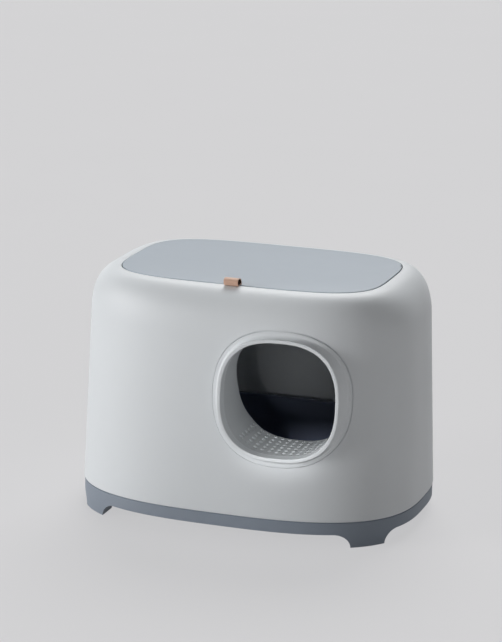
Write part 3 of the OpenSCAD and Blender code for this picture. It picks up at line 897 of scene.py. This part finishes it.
def litter_holes(e):
    """Upright round plugs on a regular grid, as one object."""
    columns, rows, radius = e.size.hole_columns, e.size.hole_rows, e.size.hole_size / 2
    pitch_x, pitch_y = e.size.hole_pitch_x, e.size.hole_pitch_y
    x0 = e.size.centre_x - e.size.hole_shift - pitch_x * (columns - 1) / 2
    y0 = -e.size.rear - e.size.hole_start
    bottom = e.size.centre_z - e.half - 15 * MM
    top = e.size.centre_z - 0.55 * e.half
    sides = 28
    t = np.linspace(0, 2 * np.pi, sides, endpoint=False)
    circle = np.stack([radius * np.cos(t), radius * np.sin(t)], -1)
    i, j = np.meshgrid(np.arange(columns), np.arange(rows), indexing="ij")
    mids = np.stack([x0 + pitch_x * i.ravel(), y0 - pitch_y * j.ravel()], -1)
    flat = mids[:, None, :] + circle[None]
    points = np.concatenate([
        np.concatenate([flat, np.full((*flat.shape[:2], 1), z)], -1) for z in (bottom, top)], 1)
    one = ring_faces(2, sides, False)
    one.append(list(range(sides - 1, -1, -1)))
    one.append([sides + k for k in range(sides)])
    faces = [[k * 2 * sides + v for v in f] for k in range(len(mids)) for f in one]
    return mesh_piece("hole_plugs", points.reshape(-1, 3), faces)


def arch_outline(length, height, end, steps=14):
    """Opening under an edge: straight top, each end a quarter ellipse down to the floor."""
    t = np.linspace(0, np.pi / 2, steps)
    right = np.stack([length / 2 - end + end * np.cos(t), height * np.sin(t)], -1)
    left = right[::-1] * (-1, 1)
    return np.concatenate([[(length / 2, -0.02)], right, left, [(-length / 2, -0.02)]])


def make_base():
    """Base: rings up the skirt to the locating rim, down inside to the floor, with both arches
    cut straight through and a round pocket for each pad."""
    body = bpy.context.scene.box_body
    lo, hi = low("base_tray"), high("base_tray")
    a, b = (hi - lo)[:2] / 2
    n, count = body.square, body.around
    top = low("hood_shell")[2] - SEAT_GAP
    inner = body.base_wall
    rim, reveal = body.seat_rim, body.reveal
    floor = body.arch_height + 3 * MM
    profile = rounded([(30 * MM, lo[2]), (0, lo[2]), (0, top - reveal), (reveal, top - reveal),
                       (reveal, top), (rim, top), (rim, hi[2]), (inner, hi[2]),
                       (inner, floor), (40 * MM, floor)], 0.7 * MM)
    rows = [(a - s, b - s, n, z) for s, z in profile]
    obj = ring_piece("base_skirt", plan_rings(rows, count), False, 40.0)
    carve(obj, prism_piece("front_cut", arch_outline(body.front_arch, body.arch_height,
                                                     body.arch_end), -FAR, FAR, 1))
    carve(obj, prism_piece("side_cut", arch_outline(body.side_arch, body.arch_height - MM,
                                                    body.arch_end), -FAR, FAR, 0))
    for name in PADS:
        cut_round(obj, name, 2, 0.15 * MM, 0.03 * MM)
    smooth(obj, 40.0)
    dress(obj, "base_matt", "base", "base_plastic", "base_tray")


def make_pads():
    """Rubber pads: discs with a rounded lower edge and three shallow grip rings, each ring a
    dip of a cosine across the radius."""
    for name in PADS:
        lo, hi = low(name), high(name)
        mid, r = (lo + hi) / 2, (hi - lo)[0] / 2
        reach = np.linspace(0.02, 0.93, 40)
        dip = 0.18 * MM * (0.5 - 0.5 * np.cos(2 * np.pi * 3 * reach)) * (reach < 0.93)
        rows = [(r * s, lo[2] + d) for s, d in zip(reach, dip)]
        rows += [(r * (0.93 + 0.07 * np.sin(t)), lo[2] + 0.6 * MM * (1 - np.cos(t)))
                 for t in np.linspace(0, np.pi / 2, 6)[1:]]
        rows += [(r, hi[2] - 0.3 * MM), (r - 0.3 * MM, hi[2])]
        rings = plan_rings([(s, s, 2, z) for s, z in rows], 48)
        rings[:, :, :2] += mid[:2]
        obj = ring_piece(f"grip_{name}", rings, False)
        dress(obj, "pad_rubber", "base", "foot_rubber", name)


def make_pan():
    """Pan: rings from under the floor up the leaning wall, out over the rolled rim and down
    inside, capped by the floor."""
    body = bpy.context.scene.box_body
    lo, hi = low("litter_pan"), high("litter_pan")
    a, b = (hi - lo)[:2] / 2
    rim, wall, lean = body.pan_rim, body.pan_wall, body.pan_lean
    side = rim + lean
    middle, skirt, foot_round, rim_round = 20 * MM, 6 * MM, 8 * MM, 1.6 * MM
    profile = rounded([(side + middle, lo[2]), (side, lo[2]), (rim, hi[2] - wall)],
                      foot_round, 8)
    profile += rounded([(rim, hi[2] - wall), (wall, hi[2] - wall), (wall, hi[2] - skirt),
                        (0, hi[2] - skirt), (0, hi[2]), (rim + wall, hi[2]),
                        (side + wall, lo[2] + wall), (side + wall + middle, lo[2] + wall)],
                       rim_round, 5)[1:]
    rows = [(a - s, b - s, body.square, z) for s, z in profile]
    obj = ring_piece("pan_basin", plan_rings(rows, body.around), False, 40.0)
    dress(obj, "pan_satin", "pan", "pan_plastic", "litter_pan")


def make_lid():
    """Lid: capped rings over the plate's rounded edge, under it and round the stiffening lip;
    the hinge bosses are joined on, and the slot, reliefs and bores are cut out."""
    shape = HoodShape()
    a, b = shape.lid_half
    n = shape.lid.square
    lo, hi = low("top_lid"), high("top_lid")
    plate = hi[2] - shape.lid.plate
    lip, thick = shape.lid.lip_set, shape.lid.lip
    inner = lip + thick
    middle, edge_round, relief_length = 60 * MM, 0.7 * MM, 22 * MM
    profile = rounded([(middle, hi[2]), (0, hi[2]), (0, plate), (lip, plate), (lip, lo[2]),
                       (inner, lo[2]), (inner, plate), (middle, plate)], edge_round, 4)[::-1]
    rows = [(a - s, b - s, n, z) for s, z in profile]
    obj = ring_piece("lid_panel", plan_rings(rows, shape.body.around), False, 40.0)
    hinge = LidHinge(shape)
    for side in (-1, 1):
        add_boss(obj, shape.lid, hinge, side)
    half = high("pull_tab")[0] + SEAT_GAP
    front = shape.lid.slot_set - b
    back = front + tab_lines(shape.lid)[2]
    carve(obj, box_cutter((-half, half), (front, back), (plate - MM, hi[2] + MM)))
    carve(obj, box_cutter((-half, half), (front, inner + MM - b), (lo[2] - MM, plate - 0.02 * MM)))
    for side in (-1, 1):
        across = sorted((side * hinge.relief, side * FAR))
        carve(obj, box_cutter(across, (hinge.relief_front, hinge.y + relief_length),
                              (lo[2] - MM, hi[2] + MM)))
    smooth(obj, 40.0)
    # The lid's finish carries painted light on its top in a colour paler than the base's.
    dress(obj, "lid_matt_painted_light", "lid", "lid_plastic", "top_lid")


def box_cutter(across, along, heights):
    """Square block between two places on each axis."""
    square = [(across[0], along[0]), (across[1], along[0]),
              (across[1], along[1]), (across[0], along[1])]
    return prism_piece("block_cut", square, heights[0], heights[1], 2)


def round_cutter(hinge, radius, places):
    """Round bar along the hinge axis between two places along X."""
    t = np.linspace(0, 2 * np.pi, 40, endpoint=False)
    outline = np.stack([hinge.y + radius * np.cos(t), hinge.z + radius * np.sin(t)], -1)
    ends = sorted(places)
    return prism_piece("bar_cut", outline, ends[0], ends[1], 0)


def add_boss(obj, lid, hinge, side):
    """Joins a hinge boss to the lid and drills it for its pin."""
    outer = hinge.relief - 0.4 * MM
    inner = outer - lid.boss_length
    carve(obj, round_cutter(hinge, lid.boss / 2, (side * inner, side * outer)), "UNION")
    pin = (high("hinge_pin_right") - low("hinge_pin_right"))[2] / 2 + 0.06 * MM
    carve(obj, round_cutter(hinge, pin, (side * (inner + 2 * MM), side * (outer + MM))))


def smooth_line(points, steps):
    """Points on a smooth curve through a list: each span is a cubic whose slope at a point is
    half the step between its neighbours."""
    p = np.asarray(points, float)
    a = np.concatenate([p[:1], p[:-2]])
    b, c = p[:-1], p[1:]
    d = np.concatenate([p[2:], p[-1:]])
    s = np.linspace(0, 1, steps, endpoint=False)[None, :, None]
    a, b, c, d = (v[:, None, :] for v in (a, b, c, d))
    out = 0.5 * (2 * b + (c - a) * s + (2 * a - 5 * b + 4 * c - d) * s ** 2
                 + (3 * b - a - 3 * c + d) * s ** 3)
    return np.concatenate([out.reshape(-1, 2), p[-1:]])


def bend_line(centre, radius, start, end, steps=8):
    """Arc in the YZ plane between two angles in degrees."""
    t = np.radians(np.linspace(start, end, steps))
    return np.stack([centre[0] + radius * np.cos(t), centre[1] + radius * np.sin(t)], -1)


def tab_lines(lid):
    """Radius of the inner ply's bend, of the outer ply's, and the width of the slot."""
    inner = lid.tab_thick / 2 + 0.4 * MM
    outer = inner + lid.tab_thick + 0.15 * MM
    return inner, outer, outer + lid.tab_thick / 2 + 0.25 * MM


def make_tab():
    """Leather tab: a strip folded into a loop. Its middle line runs from under the lid up
    through the slot, forward over the hood's crest and back; its cross-section is a flat
    superellipse carried along that line. The loop's inside shows the flesh side, coloured dark as
    painted shade."""
    shape = HoodShape()
    lid = shape.lid
    hi = high("pull_tab")
    t, h, run = lid.tab_thick, lid.loop_height, lid.loop_length
    top, crest = high("top_lid")[2], shape.crest
    plate = top - lid.plate
    inner, outer, slot = tab_lines(lid)
    slot_back = lid.slot_set - shape.lid_half[1] + slot
    back, front = slot_back - inner, slot_back - outer
    tail = slot_back + lid.tail_length
    loop = smooth_line([
        (back, top - MM), (back - 0.3 * MM, top + 0.35 * h),
        (back - 0.22 * run, top + 0.75 * h), (back - 0.58 * run, top + h - t / 2),
        (back - 0.93 * run, top + 0.84 * h), (back - 1.04 * run, top + 0.55 * h),
        (back - 0.84 * run, crest + SEAT_GAP + 0.5 * MM + t / 2),
        (back - 0.45 * run, top + SEAT_GAP + 0.3 * MM + t / 2),
        (front - 0.5 * MM, top + 0.13 * h), (front, top - MM)], 10)
    line = np.concatenate([
        [(tail, plate - inner)], bend_line((slot_back, plate), inner, 270, 180), loop,
        bend_line((slot_back, plate), outer, 180, 270), [(tail, plate - outer)]])
    along = np.gradient(line, axis=0)
    along /= np.linalg.norm(along, axis=1)[:, None]
    across = np.stack([-along[:, 1], along[:, 0]], -1)
    count = 64
    u, v = super_outline(hi[0] - 0.02 * MM, t / 2, 14.0, count)
    rings = np.zeros((len(line), count, 3))
    rings[:, :, 0] = u[None]
    rings[:, :, 1:] = line[:, None] + across[:, None] * v[None, :, None]
    obj = ring_piece("leather_tab", rings, False, 50.0)
    recalc(obj)
    dress(obj, "tab_leather", "lid", "tab_leather", "pull_tab")
    # Flesh side of the strip; its dark colour is painted shade for the inside of the loop.
    obj.data.materials.append(finish("tab_flesh_painted_shade"))
    flesh = flesh_shade_faces(len(line), v, t)
    sides = np.zeros(len(obj.data.polygons), np.int32)
    sides[:len(flesh)] = flesh
    obj.data.polygons.foreach_set("material_index", sides)


def flesh_shade_faces(rows, v, thick):
    """1 for the strip's faces on the loop's inner side, in the order of the ring faces; these carry
    the flesh side's dark painted shade.
    """
    inside = (v + np.roll(v, -1)) / 2 > 0.4 * thick
    return np.tile(inside, rows - 1).astype(np.int32)


def make_stage():
    """Pale floor that turns up into a backdrop, the lights and the camera."""
    reach, bend_start, bend = 14.0, 10.0, 1.6
    x = np.linspace(-reach, reach, 3)
    t = np.linspace(0, np.pi / 2, 24)
    y = np.concatenate([[-reach], bend_start + bend * np.sin(t), [bend_start + bend]])
    z = np.concatenate([[0.0], bend * (1 - np.cos(t)), [1.5 * bend]])
    points = np.stack([np.tile(x, (len(y), 1)), np.tile(y[:, None], 3), np.tile(z[:, None], 3)],
                      -1).reshape(-1, 3)
    faces = [[j * 3 + i, j * 3 + i + 1, (j + 1) * 3 + i + 1, (j + 1) * 3 + i]
             for j in range(len(y) - 1) for i in range(2)]
    floor = mesh_piece("floor", points, faces)
    floor.data.materials.append(stage_paper())
    sunlight("key", turn=-57.0, rise=5.0, softness=34.0, strength=3.3)
    sunlight("right_fill", turn=62.0, rise=8.0, softness=60.0, strength=0.64)
    sunlight("back_top", turn=190.0, rise=48.0, softness=38.0, strength=2.45)
    room_light(0.05)
    size = bpy.context.scene.box_entry
    inside = Vector((size.centre_x, -0.2, size.centre_z))
    beam("inside_lamp", inside, turn=13.0, rise=9.0, distance=2.4, reach=0.075, power=22.0,
         softness=0.08)
    floor_middle = Vector((size.centre_x, -0.15, size.centre_z - size.clear / 2))
    beam("tunnel_lamp", floor_middle, turn=6.0, rise=21.0, distance=1.6, reach=0.036, power=62.0,
         softness=0.04, wide=2.0)
    aim_camera()
    bpy.context.scene.view_settings.view_transform = "Standard"


def stage_paper():
    """Pale paper with a faint tooth; what the camera and reflections see of it is lifted
    toward white, which lights nothing."""
    f = Finish("stage_paper", srgb(160, 158, 158), 0.9)
    tone = f.noise(3.0, 2.0)
    f.feed("Base Color", f.mix(tone, srgb(158, 156, 156), srgb(163, 161, 161)))
    seen = seen_rays(f.tree)
    glow = node(f.tree, "ShaderNodeEmission", {}, {"Color": srgb(240, 240, 242)})
    both = node(f.tree, "ShaderNodeMixShader", {}, {0: seen * 0.6, 2: glow})
    f.tree.links.new(f.shader.outputs["BSDF"], both.out.node.inputs[1])
    f.tree.links.new(both.out, f.tree.nodes["Material Output"].inputs["Surface"])
    return f.material


def seen_rays(tree):
    """1 for what the camera sees, straight or through gloss and glass."""
    kinds = ("Is Camera Ray", "Is Glossy Ray", "Is Transmission Ray")
    path = tree.nodes.new("ShaderNodeLightPath")
    camera, glossy, through = (Sock(tree, path.outputs[k]) for k in kinds)
    return node(tree, "ShaderNodeMath", {"operation": "ADD", "use_clamp": True},
                {0: camera, 1: glossy + through})


def sunlight(name, turn, rise, softness, strength):
    """Soft light from far away, turned from the front and raised, all in degrees."""
    data = bpy.data.lights.new(name, "SUN")
    data.angle, data.energy = float(np.radians(softness)), strength
    obj = bpy.data.objects.new(name, data)
    obj.rotation_euler = toward(turn, rise).to_track_quat("Z", "Y").to_euler()
    bpy.context.scene.collection.objects.link(obj)


def toward(turn, rise):
    """Unit vector from the box toward a place turned from the front and raised, in degrees."""
    turn, rise = np.radians([turn, rise])
    return Vector((np.sin(turn) * np.cos(rise), -np.cos(turn) * np.cos(rise), np.sin(rise)))


def beam(name, target, turn, rise, distance, reach, power, softness, wide=1.0):
    """Soft-edged spot that reaches a little way round its target; wide stretches it sideways."""
    data = bpy.data.lights.new(name, "SPOT")
    data.energy, data.spot_blend, data.shadow_soft_size = power, 0.8, softness
    data.spot_size = 2 * float(np.arctan(reach / distance))
    obj = bpy.data.objects.new(name, data)
    way = toward(turn, rise)
    obj.location = target + way * distance
    obj.rotation_euler = way.to_track_quat("Z", "Y").to_euler()
    obj.scale = (wide, 1.0, 1.0)
    bpy.context.scene.collection.objects.link(obj)


def room_light(strength):
    """Even white light from all round."""
    world = bpy.data.worlds.new("room")
    bpy.context.scene.world = world
    world.use_nodes = True
    background = world.node_tree.nodes["Background"]
    background.inputs["Color"].default_value = (1, 1, 1, 1)
    background.inputs["Strength"].default_value = strength


def aim_camera():
    """Camera at the photograph's angle: turned, raised and rolled about a point near the
    middle of the box, which lies a little off the centre of the picture."""
    turn, rise, roll = np.radians([18.893, 15.022, 0.918])
    distance, focal_px, width_px, height_px = 4.0912, 2576.625, 502, 642
    forward = np.array([-np.sin(turn) * np.cos(rise), np.cos(turn) * np.cos(rise), -np.sin(rise)])
    right = np.array([np.cos(turn), np.sin(turn), 0.0])
    up = np.cross(right, forward)
    right, up = (right * np.cos(roll) + up * np.sin(roll),
                 -right * np.sin(roll) + up * np.cos(roll))
    target = right * -0.01499 + up * 0.094701 + np.array([0, 0, 0.2])
    eye = target - forward * distance
    data = bpy.data.cameras.new("camera")
    data.sensor_fit = "AUTO"
    data.sensor_width = 36.0
    data.lens = focal_px * data.sensor_width / max(width_px, height_px)
    data.clip_end = 100.0
    obj = bpy.data.objects.new("camera", data)
    axes = np.eye(4)
    axes[:3, 0], axes[:3, 1], axes[:3, 2], axes[:3, 3] = right, up, -forward, eye
    obj.matrix_world = Matrix(axes.tolist())
    bpy.context.scene.collection.objects.link(obj)
    bpy.context.scene.camera = obj


def coat_small_parts():
    """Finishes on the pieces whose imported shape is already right."""
    for name in ("entry_screws", "hinge_pin_left", "hinge_pin_right", "tab_screws"):
        coat(name, "turned_steel")
    coat("tab_clamp", "lid_matt_painted_light")


# Add-on


class BOX_OT_stage(bpy.types.Operator):
    """Floor, lights and camera"""

    bl_idname = "box.stage"
    bl_label = "Stage"

    def execute(self, context):
        make_stage()
        return {"FINISHED"}


class BOX_OT_base(bpy.types.Operator):
    """Skirt, floor and feet of the base"""

    bl_idname = "box.base"
    bl_label = "Base"

    def execute(self, context):
        make_base()
        return {"FINISHED"}


class BOX_OT_pads(bpy.types.Operator):
    """Rubber pads under the feet"""

    bl_idname = "box.pads"
    bl_label = "Foot pads"

    def execute(self, context):
        make_pads()
        return {"FINISHED"}


class BOX_OT_pan(bpy.types.Operator):
    """Lift-out litter pan"""

    bl_idname = "box.pan"
    bl_label = "Pan"

    def execute(self, context):
        make_pan()
        return {"FINISHED"}


class BOX_OT_hood(bpy.types.Operator):
    """Hood with its port and lid recess"""

    bl_idname = "box.hood"
    bl_label = "Hood"

    def execute(self, context):
        make_hood()
        return {"FINISHED"}


class BOX_OT_collar(bpy.types.Operator):
    """Collar round the entry"""

    bl_idname = "box.collar"
    bl_label = "Entry collar"

    def execute(self, context):
        make_collar()
        return {"FINISHED"}


class BOX_OT_tunnel(bpy.types.Operator):
    """Perforated entry tunnel"""

    bl_idname = "box.tunnel"
    bl_label = "Entry tunnel"

    def execute(self, context):
        make_tunnel()
        return {"FINISHED"}


class BOX_OT_lid(bpy.types.Operator):
    """Hinged top lid"""

    bl_idname = "box.lid"
    bl_label = "Lid"

    def execute(self, context):
        make_lid()
        return {"FINISHED"}


class BOX_OT_tab(bpy.types.Operator):
    """Folded leather pull tab"""

    bl_idname = "box.tab"
    bl_label = "Pull tab"

    def execute(self, context):
        make_tab()
        return {"FINISHED"}


class BOX_OT_small_parts(bpy.types.Operator):
    """Pins, screws and clamp"""

    bl_idname = "box.small_parts"
    bl_label = "Small parts"

    def execute(self, context):
        coat_small_parts()
        return {"FINISHED"}


PIECES = [BOX_OT_stage, BOX_OT_base, BOX_OT_pads, BOX_OT_pan, BOX_OT_hood,
          BOX_OT_collar, BOX_OT_tunnel, BOX_OT_lid, BOX_OT_tab, BOX_OT_small_parts]


class BOX_PT_panel(bpy.types.Panel):
    """Lists the pieces of the box and their sizes."""

    bl_idname = "BOX_PT_panel"
    bl_label = "Litter box"
    bl_space_type = "VIEW_3D"
    bl_region_type = "UI"
    bl_category = "Litter box"

    def draw(self, context):
        for piece in PIECES:
            self.layout.operator(piece.bl_idname)
        for key, group in GROUPS.items():
            column = self.layout.column()
            for prop in group.__annotations__:
                column.prop(getattr(context.scene, key), prop)


CLASSES = [*GROUPS.values(), *PIECES, BOX_PT_panel]


def register():
    for cls in CLASSES:
        bpy.utils.register_class(cls)
    for key, group in GROUPS.items():
        setattr(bpy.types.Scene, key, PointerProperty(type=group))


def unregister():
    for key in GROUPS:
        delattr(bpy.types.Scene, key)
    for cls in reversed(CLASSES):
        bpy.utils.unregister_class(cls)


def main():
    register()
    for piece in PIECES:
        getattr(bpy.ops.box, piece.bl_idname.split(".")[1])()


if __name__ == "__main__":
    main()
